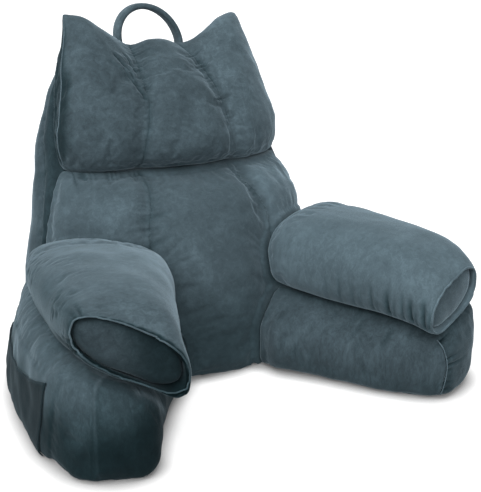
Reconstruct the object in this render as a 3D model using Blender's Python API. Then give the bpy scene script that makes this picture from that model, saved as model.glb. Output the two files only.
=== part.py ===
"""Reading pillow with arms: an upright stuffed backrest with a head section, a
lumbar section and a carry loop, two bolster arms that stand on the floor, and a
padded open-ended sleeve pillow on top of each arm.

Metres, +Z up. The floor is z = 0, the seat faces -Y, and x = 0 is the middle.
"""
import math

import bmesh
import bpy
from mathutils import Vector

# ---- driving dimensions ---------------------------------------------------
GAP = 0.0004              # air between two pieces that are sewn or rest together
CREASE_Z = 0.392          # height of the seam between head and lumbar sections
CREASE_REAR_Y = 0.036     # where that seam's height meets the backrest's mid plane
LUMBAR_LEAN = 0.20        # run of the mid plane per metre of height, lumbar
HEAD_LEAN = 0.30          # the same, head section
HEAD_TOP_Z = 0.634        # top edge of the head section in the middle
EAR_RISE = 0.057          # how far the two ears stand above that
EAR_START = 0.28          # where an ear starts to rise, as a share of the half width
EAR_CURVE = 1.15          # 1 for a straight slope, more for a hollow one
SEAM_TOP_DIP = 0.006      # how far a channel seam pulls the top edge down
SEAM_TOP_SHARE = 0.31     # where it does, as a share of the half width
SEAM_TOP_REACH = 0.08     # and how far along the edge, as a share of it
CHANNEL_DEPTH = 0.011     # how far a channel seam pulls the face in
CHANNEL_WIDTH = 0.10      # reach of that pull, as a share of the half width
CHANNEL_FADE = 0.05       # crown at which the pull is full, less crown has less pull
CROWN_SQUARE = 2.3        # outline of the crown from side to side, 2 being an ellipse
CROWN_SHOULDER = 0.75     # and how full its shoulders are, less being fuller
ARM_SQUARE = (3.0, 6.0)   # squareness of an arm's upper and lower corners
SLEEVE_SQUARE = (2.4, 2.6)  # the same for a sleeve
SLEEVE_WALL = 0.009       # padded wall of an arm sleeve
SLEEVE_RIM = 0.0025       # roundness of the rim at its mouth
PAD_FIT = 0.0009          # air between the inner pad and the sleeve
PAD_REAR_GAP = 0.04       # air behind the inner pad, as a share of its first step
PAD_CROWN = ((0.020, 0.009), (0.034, 0.026))  # bulge and drawn-in edge of its front end
POCKET_THICKNESS = 0.0025
POCKET_AIR = 0.0020        # between the patch pocket and the arm
ARM_SINK = 0.006          # how much of an arm's round underside the floor flattens
END_CROWN = ((0.80, 0.004), (0.45, 0.007))  # scale and bulge of an arm's end panel
STRAP_WIDTH = 0.026       # of the carry loop, a folded strap
STRAP_THICKNESS = 0.007
LOOP_Y = 0.125            # depth of the loop's middle
LOOP_MIDDLE = -0.005      # halfway between its feet
LOOP_REACH = 0.069        # half the distance between its feet
LOOP_LEAN = 0.014         # how far its top leans to the left
LOOP_BASE_Z = 0.629       # where its straight feet turn into the arch
LOOP_RISE = 0.072         # height of the arch

STRAP_SECTION = (         # its section, as shares of half the width and the thickness
    (1, 0.4), (0.86, 1), (0, 1.15), (-0.86, 1), (-1, 0.4),
    (-1, -0.4), (-0.86, -1), (0, -1.15), (0.86, -1), (1, -0.4),
)

CUSHION_COLUMNS = 30      # faces across a back section
COLUMN_CROWDING = 0.35    # how much they crowd towards its sides, 0 to 1
CUSHION_ROWS = 12         # faces up a back section
ROW_CROWDING = 0.55       # how much they crowd towards its ends, 0 to 1
BODY_FRONT_STEPS = 12     # faces across the rear body's front
BODY_REAR_STEPS = 20      # faces round its rear
RING_POINTS = 32          # points round an arm or a sleeve
ARM_STEPS = 16            # rings along an arm
SLEEVE_STEPS = 14         # rings along the outside of a sleeve
HOLLOW_STEPS = 8          # rings along its inside
PAD_STEPS = 7             # how many of those the inner pad fills
PAD_REACH = 0.55          # and how much of the next one
POCKET_COLUMNS = 11       # faces along the pocket
POCKET_HEM = 0.15         # least step between its upper rows, in steps of the arm's ring
LOOP_STEPS = 22           # faces along the carry loop's arch
SHARP_ANGLE = 50          # degrees between faces that don't shade smoothly

# colour (linear), roughness
VELVET = (0.062, 0.098, 0.118)
VELVET_DARK = (0.045, 0.072, 0.088)

# Backrest sections, bottom to top. share: 0 at the bottom of the section, 1 at
# its top. middle: how far the section leans to one side. front and rear: half
# widths of the front and rear edges. edge_y: depth of the front edge. crown: how
# far the middle of the face stands in front of that edge.
LUMBAR_ROWS = [
    # share, middle, front, rear,   edge_y,  crown
    (0.000, 0.000, 0.300, 0.345, -0.062, 0.160),
    (0.250, 0.000, 0.296, 0.322, -0.058, 0.160),
    (0.500, 0.000, 0.290, 0.302, -0.050, 0.158),
    (0.700, 0.000, 0.279, 0.286, -0.036, 0.146),
    (0.840, 0.000, 0.268, 0.270, -0.022, 0.132),
    (0.930, 0.000, 0.261, 0.258, -0.009, 0.108),
    (0.975, 0.001, 0.252, 0.249, 0.006, 0.087),
    (1.000, 0.003, 0.238, 0.243, 0.020, 0.072),
]
HEAD_ROWS = [
    # share, middle, front, rear,   edge_y,  crown
    (0.000, -0.003, 0.230, 0.242, 0.022, 0.070),
    (0.035, -0.004, 0.243, 0.244, 0.016, 0.090),
    (0.100, -0.005, 0.250, 0.243, 0.014, 0.108),
    (0.250, -0.006, 0.252, 0.242, 0.016, 0.110),
    (0.450, -0.006, 0.239, 0.236, 0.030, 0.102),
    (0.650, -0.004, 0.224, 0.219, 0.054, 0.090),
    (0.820, -0.001, 0.212, 0.203, 0.078, 0.066),
    (0.930, 0.001, 0.206, 0.199, 0.094, 0.036),
    (1.000, 0.002, 0.201, 0.197, 0.104, 0.000),
]
# where the two channel seams run, as a share of the half width
CHANNEL_ROWS = [
    # height, share
    (0.000, 0.40),
    (0.280, 0.42),
    (0.392, 0.43),
    (0.500, 0.40),
    (0.634, 0.31),
]
# Rear body, floor to top: middle, half width at its front and rear edges, and
# depth of its rear face.
BODY_ROWS = [
    # z,     middle, front, rear,  rear_y
    (0.000, 0.000, 0.350, 0.330, 0.122),
    (0.020, 0.000, 0.350, 0.340, 0.134),
    (0.060, 0.000, 0.341, 0.338, 0.142),
    (0.120, 0.000, 0.330, 0.331, 0.146),
    (0.200, 0.000, 0.311, 0.313, 0.148),
    (0.300, -0.002, 0.284, 0.292, 0.150),
    (0.400, -0.005, 0.251, 0.271, 0.152),
    (0.480, -0.006, 0.244, 0.249, 0.152),
    (0.540, -0.005, 0.232, 0.227, 0.151),
    (0.575, -0.003, 0.216, 0.205, 0.149),
    (0.592, -0.002, 0.200, 0.188, 0.146),
    (0.600, -0.002, 0.186, 0.172, 0.140),
]
BODY_SIDE = 0.05          # depth of its flat sides, in front of the rounded rear
BODY_SQUARE = 3.2         # how square that rear is, 2 being an ellipse
# Arm bolsters, rear to front. in and out: the middle of the seat side and of the
# outer side. in_top and out_top: heights of the two upper edges. lean: how far the
# outer side leans in at its top.
LEFT_ARM_ROWS = [
    # in_x,   in_y,  out_x,  out_y,  low, in_top, out_top, lean
    (0.110, -0.090, 0.345, 0.095, 0.0, 0.150, 0.235, 0.050),
    (0.080, -0.206, 0.396, -0.020, 0.0, 0.134, 0.235, 0.050),
    (0.142, -0.288, 0.421, -0.140, 0.0, 0.130, 0.225, 0.036),
    (0.194, -0.364, 0.428, -0.250, 0.0, 0.130, 0.216, 0.022),
    (0.235, -0.430, 0.424, -0.350, 0.0, 0.132, 0.208, 0.012),
    (0.256, -0.478, 0.408, -0.428, 0.0, 0.135, 0.200, 0.006),
    (0.270, -0.495, 0.392, -0.455, 0.003, 0.132, 0.190, 0.004),
    (0.284, -0.500, 0.374, -0.471, 0.012, 0.120, 0.168, 0.002),
]
RIGHT_ARM_ROWS = [
    # in_x,   in_y,  out_x,  out_y,  low, in_top, out_top, lean
    (0.110, -0.090, 0.345, 0.095, 0.0, 0.150, 0.235, 0.050),
    (0.066, -0.243, 0.396, -0.020, 0.0, 0.132, 0.235, 0.050),
    (0.107, -0.308, 0.424, -0.140, 0.0, 0.128, 0.225, 0.036),
    (0.156, -0.376, 0.440, -0.240, 0.0, 0.126, 0.214, 0.022),
    (0.202, -0.440, 0.444, -0.335, 0.0, 0.125, 0.202, 0.012),
    (0.248, -0.490, 0.436, -0.410, 0.0, 0.126, 0.190, 0.006),
    (0.284, -0.514, 0.424, -0.452, 0.003, 0.124, 0.178, 0.004),
    (0.310, -0.522, 0.402, -0.476, 0.014, 0.112, 0.154, 0.002),
]
# Sleeve pillows, rear to front, with the lower and upper height of each side.
LEFT_SLEEVE_ROWS = [
    # in_x,   in_y,  out_x,  out_y, in_low, in_high, out_low, out_high
    (0.150, -0.120, 0.300, -0.020, 0.170, 0.245, 0.215, 0.265),
    (0.114, -0.185, 0.350, -0.080, 0.140, 0.282, 0.205, 0.296),
    (0.130, -0.255, 0.376, -0.170, 0.134, 0.296, 0.196, 0.308),
    (0.164, -0.338, 0.388, -0.265, 0.134, 0.298, 0.190, 0.314),
    (0.196, -0.418, 0.394, -0.355, 0.134, 0.296, 0.190, 0.314),
    (0.217, -0.478, 0.398, -0.425, 0.131, 0.280, 0.204, 0.313),
    (0.226, -0.528, 0.400, -0.480, 0.132, 0.228, 0.220, 0.312),
]
RIGHT_SLEEVE_ROWS = [
    # in_x,   in_y,  out_x,  out_y, in_low, in_high, out_low, out_high
    (0.150, -0.120, 0.300, -0.020, 0.170, 0.250, 0.215, 0.265),
    (0.108, -0.185, 0.352, -0.080, 0.134, 0.292, 0.205, 0.294),
    (0.126, -0.255, 0.378, -0.170, 0.128, 0.306, 0.196, 0.303),
    (0.160, -0.338, 0.390, -0.265, 0.128, 0.300, 0.190, 0.302),
    (0.198, -0.418, 0.395, -0.355, 0.128, 0.290, 0.184, 0.299),
    (0.228, -0.480, 0.393, -0.430, 0.127, 0.264, 0.174, 0.293),
    (0.243, -0.525, 0.382, -0.487, 0.124, 0.214, 0.166, 0.266),
]
# Patch pocket on the left arm: height of its open top edge, rear to front.
POCKET_TOP_ROWS = [
    # share, z
    (0.00, 0.122),
    (0.25, 0.138),
    (0.49, 0.146),
    (0.75, 0.143),
    (0.92, 0.150),
    (1.00, 0.164),
]
POCKET_REAR = 0.09        # where it starts along the arm, as a share of its length
POCKET_FRONT = (0.57, 0.66)  # where it ends, at its foot and at its top
SLEEVE_START = 0.30       # where the hollow of a sleeve begins, as a share of its length
SLEEVE_EDGE = 0.988       # where its rim starts to turn in


# ---- tables ---------------------------------------------------------------
def catmull(a, b, c, d, t):
    """Smooth value between b and c."""
    return 0.5 * (2 * b + (c - a) * t + (2 * a - 5 * b + 4 * c - d) * t * t
                  + (3 * b - a - 3 * c + d) * t ** 3)


def sample(rows, share):
    """The row at a share, 0 to 1, of the way through a table of even steps."""
    last = len(rows) - 1
    place = min(max(share, 0.0), 1.0) * last
    i = min(int(place), last - 1)
    before = rows[max(i - 1, 0)]
    after = rows[min(i + 2, last)]
    return tuple(catmull(*v, place - i) for v in zip(before, rows[i], rows[i + 1], after))


def lookup(rows, key):
    """The other columns of a table whose first column rises, at a value of it."""
    for low, high in zip(rows, rows[1:]):
        if key <= high[0]:
            break
    t = min(max((key - low[0]) / (high[0] - low[0]), 0.0), 1.0)
    return [a + (b - a) * t for a, b in zip(low[1:], high[1:])]


# ---- meshes ---------------------------------------------------------------
def material(name, colour, roughness):
    made = bpy.data.materials.new(name)
    made.use_nodes = True
    shader = made.node_tree.nodes["Principled BSDF"]
    shader.inputs["Base Color"].default_value = (*colour, 1.0)
    shader.inputs["Roughness"].default_value = roughness
    shader.inputs["Metallic"].default_value = 0.0
    return made


def add_object(name, points, faces, look):
    mesh = bpy.data.meshes.new(name)
    mesh.from_pydata([tuple(p) for p in points], [], faces)
    mesh.validate()
    mesh.shade_smooth()
    mesh.set_sharp_from_angle(angle=math.radians(SHARP_ANGLE))
    mesh.materials.append(look)
    made = bpy.data.objects.new(name, mesh)
    bpy.context.collection.objects.link(made)
    return made


def split(faces):
    """Four-sided faces cut along a fixed diagonal, so that copies match exactly."""
    cut = []
    for face in faces:
        if len(face) == 4:
            a, b, c, d = face
            cut += [(a, b, c), (a, c, d)]
        else:
            cut.append(face)
    return cut


def join_rings(rings):
    """One closed surface through rings of equal length, with flat ends."""
    count = len(rings[0])
    points = [p for ring in rings for p in ring]
    faces = [tuple(range(count))[::-1]]
    for k in range(len(rings) - 1):
        for i in range(count):
            j = (i + 1) % count
            faces.append((k * count + i, k * count + j, (k + 1) * count + j, (k + 1) * count + i))
    top = (len(rings) - 1) * count
    faces.append(tuple(range(top, top + count)))
    return points, split(faces)


def mirrored(points, faces):
    return [(-p[0], p[1], p[2]) for p in points], [f[::-1] for f in faces]


def grown(points, faces, distance):
    """The same surface, moved out along its normals by an even distance."""
    shape = bmesh.new()
    verts = [shape.verts.new(p) for p in points]
    for face in faces:
        shape.faces.new([verts[i] for i in face])
    shape.normal_update()
    moved = [v.co + v.normal * distance * min(v.calc_shell_factor(), 2.0) for v in verts]
    shape.free()
    return moved, faces


def cut_by(piece, shapes):
    """Trim a piece where it meets others, one gap clear of each."""
    for number, (points, faces) in enumerate(shapes):
        tool = add_object(f"trim-{piece.name}-{number}", *grown(points, faces, GAP), piece.active_material)
        tool.hide_render = True
        tool.display_type = "WIRE"
        cut = piece.modifiers.new("Trim", "BOOLEAN")
        cut.operation = "DIFFERENCE"
        cut.object = tool


# ---- backrest -------------------------------------------------------------
def mid_plane(z):
    """Depth of the plane between the front sections and the rear body."""
    lean = LUMBAR_LEAN if z < CREASE_Z else HEAD_LEAN
    return CREASE_REAR_Y + (z - CREASE_Z) * lean


def channel_pull(u, z):
    """How strongly the channel seams pull at a place across the face, 0 to 1."""
    share = lookup(CHANNEL_ROWS, z)[0]
    return math.exp(-((abs(u) - share) / CHANNEL_WIDTH) ** 2)


def crown_shape(u):
    return (1.0 - abs(u) ** CROWN_SQUARE) ** CROWN_SHOULDER


def head_top(u):
    """Height of the head section's top edge: level in the middle, up to the ears."""
    ear = max(abs(u) - EAR_START, 0.0) / (1 - EAR_START)
    dip = SEAM_TOP_DIP * math.exp(-((abs(u) - SEAM_TOP_SHARE) / SEAM_TOP_REACH) ** 2)
    return HEAD_TOP_Z + EAR_RISE * ear ** EAR_CURVE - dip


def section_points(rows, base_z, top_z):
    """Front and rear grids of a back section. top_z gives a height for each u."""
    shares = [i / CUSHION_ROWS for i in range(CUSHION_ROWS + 1)]
    columns = [2 * i / CUSHION_COLUMNS - 1 for i in range(CUSHION_COLUMNS + 1)]
    front = []
    rear = []
    for s in shares:
        share = s - math.sin(2 * math.pi * s) / (2 * math.pi) * ROW_CROWDING
        middle, half, rear_half, edge_y, crown = lookup(rows, share)
        for k in columns:
            u = math.sin(k * math.pi / 2) * COLUMN_CROWDING + k * (1 - COLUMN_CROWDING)
            z = base_z + (top_z(u) - base_z) * share
            pull = channel_pull(u, z) * CHANNEL_DEPTH * min(1.0, crown / CHANNEL_FADE)
            front.append((middle + u * half, edge_y - crown * crown_shape(u) + pull, z))
            rear_x = u * (rear_half if abs(k) == 1 else half)
            rear.append((middle + rear_x, mid_plane(z) - GAP / 2, z))
    return front, rear


def section_mesh(rows, base_z, top_z):
    front, rear = section_points(rows, base_z, top_z)
    wide = CUSHION_COLUMNS + 1
    start = len(front)
    faces = []
    for r in range(CUSHION_ROWS):
        for c in range(CUSHION_COLUMNS):
            a = r * wide + c
            faces.append((a, a + 1, a + wide + 1, a + wide))
            b = start + a
            faces.append((b, b + wide, b + wide + 1, b + 1))
    for c in range(CUSHION_COLUMNS):
        # the first corner listed is the one the diagonal leaves from
        top = CUSHION_ROWS * wide + c
        if c < CUSHION_COLUMNS // 2:
            faces.append((c, start + c, start + c + 1, c + 1))
            faces.append((top, top + 1, start + top + 1, start + top))
        else:
            faces.append((c + 1, c, start + c, start + c + 1))
            faces.append((top + 1, start + top + 1, start + top, top))
    for r in range(CUSHION_ROWS):
        left = r * wide
        right = left + CUSHION_COLUMNS
        faces.append((left, left + wide, start + left + wide, start + left))
        faces.append((right + wide, right, start + right, start + right + wide))
    return front + rear, split(faces)


def lumbar_mesh():
    return section_mesh(LUMBAR_ROWS, 0.0, lambda u: CREASE_Z - GAP / 2)


def head_mesh():
    return section_mesh(HEAD_ROWS, CREASE_Z + GAP / 2, head_top)


def body_mesh():
    """Rear body: at each height a flat front and a rounded, stuffed rear."""
    rings = []
    for z, middle, half, rear_half, rear_y in BODY_ROWS:
        front_y = mid_plane(z) + GAP / 2
        side_y = front_y + min(BODY_SIDE, (rear_y - front_y) / 2)
        ring = []
        for i in range(BODY_FRONT_STEPS + 1):
            ring.append((middle - half + 2 * half * i / BODY_FRONT_STEPS, front_y, z))
        for i in range(BODY_REAR_STEPS + 1):
            a = math.pi * i / BODY_REAR_STEPS
            x = math.copysign(abs(math.cos(a)) ** (2 / BODY_SQUARE), math.cos(a))
            y = abs(math.sin(a)) ** (2 / BODY_SQUARE)
            ring.append((middle + rear_half * x, side_y + (rear_y - side_y) * y, z))
        rings.append(ring)
    return join_rings(rings)


# ---- arms and sleeves -----------------------------------------------------
def quad_ring(inner, outer, heights, square, lean=0.0):
    """A rounded four-sided ring in the upright plane through inner and outer.
    heights: low and high on the inner side, then low and high on the outer. square:
    how square the upper and lower corners are, 2 being round. lean: how far the
    outer side leans in at its top."""
    in_low, in_high, out_low, out_high = heights
    upper, lower = square
    ring = []
    for i in range(RING_POINTS):
        a = 2 * math.pi * i / RING_POINTS
        exponent = upper if math.sin(a) > 0 else lower
        across = math.copysign(abs(math.cos(a)) ** (2 / exponent), math.cos(a))
        up = math.copysign(abs(math.sin(a)) ** (2 / exponent), math.sin(a))
        u = (across + 1) / 2
        v = (up + 1) / 2
        low = in_low + (out_low - in_low) * u
        high = in_high + (out_high - in_high) * u
        place = inner.lerp(outer, u) - (outer - inner).normalized() * lean * u * v
        ring.append(Vector((place.x, place.y, low + (high - low) * v)))
    return ring


def arm_ring(rows, share):
    in_x, in_y, out_x, out_y, low, in_top, out_top, lean = sample(rows, share)
    inner = Vector((in_x, in_y))
    outer = Vector((out_x, out_y))
    sunk = low - ARM_SINK
    ring = quad_ring(inner, outer, (sunk, in_top, sunk, out_top), ARM_SQUARE, lean)
    return [Vector((p.x, p.y, max(p.z, 0.0))) for p in ring]


def arm_rings(rows):
    rings = [arm_ring(rows, i / ARM_STEPS) for i in range(ARM_STEPS + 1)]
    last = rings[-1]
    centre = sum(last, Vector()) / RING_POINTS
    in_x, in_y, out_x, out_y = rows[-1][:4]
    forward = Vector((out_y - in_y, in_x - out_x, 0)).normalized()
    for scale, push in END_CROWN:
        rings.append([centre + (p - centre) * scale + forward * push for p in last])
    return rings


def sleeve_ring(rows, share, inset):
    in_x, in_y, out_x, out_y, in_low, in_high, out_low, out_high = sample(rows, share)
    inner = Vector((in_x, in_y))
    outer = Vector((out_x, out_y))
    step = (outer - inner).normalized() * inset
    heights = (in_low + inset, in_high - inset, out_low + inset, out_high - inset)
    return quad_ring(inner + step, outer - step, heights, SLEEVE_SQUARE)


def sleeve_rings(rows):
    """The outside of a sleeve, from its closed rear end to its rim."""
    rings = [sleeve_ring(rows, SLEEVE_EDGE * i / SLEEVE_STEPS, 0.0) for i in range(SLEEVE_STEPS + 1)]
    rings.append(sleeve_ring(rows, 1.0, SLEEVE_RIM))
    return rings


def hollow_share(i):
    """How far along a sleeve a ring of its inside lies, from the rear end's ring 0."""
    return SLEEVE_START + (SLEEVE_EDGE - SLEEVE_START) * i / HOLLOW_STEPS


def sleeve_mesh(rows):
    """A bag: up the outside, over the rim, and back down the inside."""
    rings = sleeve_rings(rows)
    rings.append(sleeve_ring(rows, 1.0, SLEEVE_WALL - SLEEVE_RIM))
    for i in range(HOLLOW_STEPS, -1, -1):
        rings.append(sleeve_ring(rows, hollow_share(i), SLEEVE_WALL))
    return join_rings(rings)


def pad_mesh(rows):
    """The stuffed pad inside a sleeve, its crowned end just behind the rim."""
    inset = SLEEVE_WALL + PAD_FIT
    rings = [sleeve_ring(rows, hollow_share(i), inset) for i in range(PAD_STEPS + 2)]
    rings[0] = [a.lerp(b, PAD_REAR_GAP) for a, b in zip(rings[0], rings[1])]
    rings[-1] = [a.lerp(b, PAD_REACH) for a, b in zip(rings[-2], rings[-1])]
    for push, extra in PAD_CROWN:
        rings.append(sleeve_ring(rows, hollow_share(PAD_STEPS + PAD_REACH) + push, inset + extra))
    return join_rings(rings)


# ---- pocket and carry loop ------------------------------------------------
def pocket_mesh(rings):
    """A thin patch on the outer side of an arm, laid a little off its surface."""
    side = (-4, -3, -2, -1, 0, 1)  # points of an arm ring from the floor up its outer side
    points, faces = join_rings(rings)
    mesh = bpy.data.meshes.new("arm-skin")
    mesh.from_pydata([tuple(p) for p in points], [], faces)
    mesh.update()
    normals = [v.normal.copy() for v in mesh.vertices]
    bpy.data.meshes.remove(mesh)

    def on_arm(values, along, around):
        k = int(along)
        i = math.floor(around)
        near = [values[(k + dk) * RING_POINTS + (i + di) % RING_POINTS] for dk in (0, 1) for di in (0, 1)]
        return near[0].lerp(near[1], around - i).lerp(near[2].lerp(near[3], around - i), along - k)

    def step_along(share, rise):
        front = POCKET_FRONT[0] + (POCKET_FRONT[1] - POCKET_FRONT[0]) * rise
        return (POCKET_REAR + (front - POCKET_REAR) * share) * ARM_STEPS

    loops = []
    for c in range(POCKET_COLUMNS + 1):
        share = c / POCKET_COLUMNS
        top_z = lookup(POCKET_TOP_ROWS, share)[0]
        for below in side:
            low = on_arm(points, step_along(share, 1), below)
            high = on_arm(points, step_along(share, 1), below + 1)
            if high.z >= top_z:
                break
        top = below + (top_z - low.z) / (high.z - low.z)
        under = []
        over = []
        for level in range(len(side) + 1):
            around = top
            if level < len(side):
                around = min(side[level], top - (len(side) - level) * POCKET_HEM)
            along = step_along(share, level / len(side))
            place = on_arm(points, along, around)
            out = on_arm(normals, along, around).normalized()
            under.append(place + out * POCKET_AIR)
            over.append(place + out * (POCKET_AIR + POCKET_THICKNESS))
        loops.append(over + under[::-1])
    return join_rings(loops)


def strap_ring(centre, across, thick):
    """A flat strap's section: across is along Y, thick points out of the loop."""
    half = STRAP_WIDTH / 2
    edge = STRAP_THICKNESS / 2
    ring = []
    for w, t in STRAP_SECTION:
        ring.append(centre + across * w * half + thick * t * edge)
    return ring


def loop_mesh():
    """The carry loop: two straight feet on the rear body and an arch between."""
    foot_z = BODY_ROWS[-1][0] + GAP
    centres = []
    for i in range(LOOP_STEPS + 1):
        a = math.pi * i / LOOP_STEPS
        x = LOOP_MIDDLE + LOOP_REACH * math.cos(a) - LOOP_LEAN * math.sin(a)
        centres.append(Vector((x, LOOP_Y, LOOP_BASE_Z + LOOP_RISE * math.sin(a))))
    centres.insert(0, Vector((centres[0].x, LOOP_Y, foot_z)))
    centres.append(Vector((centres[-1].x, LOOP_Y, foot_z)))
    rings = []
    for k, centre in enumerate(centres):
        ahead = centres[min(k + 1, len(centres) - 1)]
        behind = centres[max(k - 1, 0)]
        along = (ahead - behind).normalized()
        if k in (0, len(centres) - 1):
            along = Vector((0, 0, 1 if k == 0 else -1))
        across = Vector((0, 1, 0))
        rings.append(strap_ring(centre, across, along.cross(across)))
    return join_rings(rings)


def main():
    for old in list(bpy.data.objects):
        bpy.data.objects.remove(old)
    velvet = material("velvet", VELVET, 0.85)
    dark = material("velvet_dark", VELVET_DARK, 0.9)
    lumbar = lumbar_mesh()
    head = head_mesh()
    body = body_mesh()
    add_object("lumbar_cushion", *lumbar, velvet)
    add_object("head_cushion", *head, velvet)
    add_object("back_body", *body, dark)
    add_object("handle", *loop_mesh(), dark)
    for side, arm_rows, sleeve_rows in (("right", RIGHT_ARM_ROWS, RIGHT_SLEEVE_ROWS),
                                        ("left", LEFT_ARM_ROWS, LEFT_SLEEVE_ROWS)):
        rings = arm_rings(arm_rows)
        arm = join_rings(rings)
        sleeve = sleeve_mesh(sleeve_rows)
        outline = join_rings(sleeve_rings(sleeve_rows))
        pad = pad_mesh(sleeve_rows)
        if side == "left":
            arm, sleeve, outline, pad = [mirrored(*m) for m in (arm, sleeve, outline, pad)]
        cut_by(add_object(f"arm_{side}", *arm, dark), [outline, lumbar, body])
        cut_by(add_object(f"arm_sleeve_{side}", *sleeve, velvet), [lumbar, body])
        add_object(f"arm_pad_{side}", *pad, dark)
        if side == "left":
            add_object("side_pocket_left", *mirrored(*pocket_mesh(rings)), velvet)


main()
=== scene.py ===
"""Looks of the reading pillow: stuffed velvet sections with sewn seams, folds and
gathers, a carry loop and a patch pocket, on a pale floor in soft studio light.
Lengths are in metres. Left is -X, the front is -Y."""
import math

import bmesh
import bpy
import numpy as np
from mathutils import Matrix, Vector
from mathutils.bvhtree import BVHTree
from mathutils.kdtree import KDTree


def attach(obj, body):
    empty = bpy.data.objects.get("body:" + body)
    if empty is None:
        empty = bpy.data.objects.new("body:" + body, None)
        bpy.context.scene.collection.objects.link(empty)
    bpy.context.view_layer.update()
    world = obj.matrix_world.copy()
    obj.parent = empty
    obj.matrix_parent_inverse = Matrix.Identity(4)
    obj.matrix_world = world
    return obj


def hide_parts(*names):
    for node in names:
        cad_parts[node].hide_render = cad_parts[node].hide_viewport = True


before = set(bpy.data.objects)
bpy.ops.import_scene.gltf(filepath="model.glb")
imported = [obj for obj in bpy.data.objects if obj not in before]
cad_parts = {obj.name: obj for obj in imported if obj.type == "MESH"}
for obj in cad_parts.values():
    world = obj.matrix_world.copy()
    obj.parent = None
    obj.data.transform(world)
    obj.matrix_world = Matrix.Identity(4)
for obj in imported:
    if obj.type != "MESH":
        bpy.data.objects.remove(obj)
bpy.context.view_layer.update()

# ---- how the cloth of each piece is made ---------------------------------------
CLOTHS = {  # node: voxel size, smoothing steps, share that the cloth is cut too large
    "head_cushion": (0.0048, 4, 0.035),
    "lumbar_cushion": (0.0052, 5, 0.035),
    "back_body": (0.0052, 4, 0.0),
    "arm_left": (0.0056, 4, 0.012),
    "arm_right": (0.0056, 4, 0.012),
    "arm_sleeve_left": (0.0050, 3, 0.04),
    "arm_sleeve_right": (0.0050, 3, 0.04),
    "arm_pad_left": (0.0040, 6, 0.0),
    "arm_pad_right": (0.0040, 6, 0.0),
    "handle": (0.0018, 2, 0.0),
}
SWELL_FRAMES = 20
SWELL_PRESSURE = 4.0
SWELL_CAP = 0.006     # the furthest that a point of the cloth moves
SEAM_HOLD = 0.005     # half the width that a seam holds
NEAR = 0.012          # a neighbour this close holds the cloth
MOST_TRIANGLES = 130000  # of one piece
CLOTH_MASS = 0.15
CLOTH_STIFFNESS = 0.15
STRAP_SWELL = 0.0024  # how far the strap's cloth stands off its solid
WELT_LIFT = 0.0002
PATH_STEP = 0.002     # between the points of a line laid on a piece

# ---- seams and folds, as points near the surface -------------------------------
HEAD_SEAM_LEFT = [
    (-0.060, 0.088, 0.628), (-0.066, 0.051, 0.603), (-0.070, 0.018, 0.580), (-0.075, -0.015, 0.552),
    (-0.078, -0.042, 0.524), (-0.086, -0.059, 0.496), (-0.099, -0.074, 0.457), (-0.106, -0.068, 0.415),
    (-0.108, -0.045, 0.397),
]
HEAD_SEAM_RIGHT = [
    (0.042, 0.096, 0.630), (0.052, 0.070, 0.616), (0.061, 0.050, 0.603), (0.068, 0.020, 0.583),
    (0.074, -0.004, 0.562), (0.079, -0.020, 0.548), (0.084, -0.045, 0.515), (0.089, -0.065, 0.476),
    (0.094, -0.078, 0.436), (0.100, -0.045, 0.397),
]
HEAD_FOLDS = [  # depth, width, points
    (0.0042, 0.0042, [
        (-0.124, 0.036, 0.615), (-0.108, 0.022, 0.598), (-0.092, 0.004, 0.574), (-0.082, -0.020, 0.548)]),
    (0.0036, 0.0040, [
        (-0.112, 0.012, 0.592), (-0.098, -0.002, 0.570), (-0.087, -0.022, 0.546), (-0.082, -0.040, 0.526)]),
    (0.0030, 0.0040, [(-0.098, 0.050, 0.613), (-0.086, 0.032, 0.598), (-0.078, 0.010, 0.575)]),
    (0.0015, 0.0050, [(-0.140, 0.030, 0.598), (-0.118, 0.010, 0.580), (-0.100, -0.014, 0.556)]),
    (0.0026, 0.0042, [(0.066, 0.045, 0.603), (0.076, 0.024, 0.588), (0.082, 0.004, 0.570)]),
    (0.0024, 0.0038, [(0.072, 0.020, 0.585), (0.079, -0.004, 0.564), (0.082, -0.024, 0.543)]),
    (0.0018, 0.0042, [(0.092, 0.010, 0.574), (0.088, -0.012, 0.555), (0.086, -0.033, 0.532)]),
]
HEAD_EDGES = {
    "left": [
        (-0.198, 0.102, 0.681), (-0.205, 0.090, 0.662), (-0.213, 0.075, 0.637), (-0.228, 0.052, 0.587),
        (-0.243, 0.030, 0.527), (-0.256, 0.018, 0.467), (-0.254, 0.015, 0.422), (-0.246, 0.017, 0.402)],
    "right": [
        (0.202, 0.102, 0.681), (0.207, 0.092, 0.665), (0.211, 0.078, 0.637), (0.220, 0.054, 0.587),
        (0.233, 0.030, 0.527), (0.246, 0.016, 0.467), (0.245, 0.014, 0.422), (0.238, 0.017, 0.402)],
}
LUMBAR_SEAM_LEFT = [
    (-0.108, -0.040, 0.389), (-0.104, -0.069, 0.377), (-0.106, -0.094, 0.363), (-0.114, -0.121, 0.338),
    (-0.121, -0.134, 0.318), (-0.128, -0.145, 0.291), (-0.130, -0.155, 0.263), (-0.128, -0.165, 0.220),
]
LUMBAR_SEAM_RIGHT = [
    (0.100, -0.045, 0.389), (0.103, -0.087, 0.367), (0.117, -0.112, 0.345), (0.130, -0.132, 0.318),
    (0.137, -0.143, 0.295), (0.136, -0.156, 0.264), (0.132, -0.169, 0.236), (0.128, -0.176, 0.200),
]
LUMBAR_TOP = [
    (-0.240, -0.010, 0.392), (-0.200, -0.030, 0.390), (-0.150, -0.045, 0.390), (-0.110, -0.050, 0.390),
    (-0.070, -0.055, 0.390),
]
BODY_SEAM_BACK = 0.014   # how far behind these points the body's side seam runs
BODY_FRONT_SHADE = 0.46   # painted shade in the recess in front of that seam: how much darker it is
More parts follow.
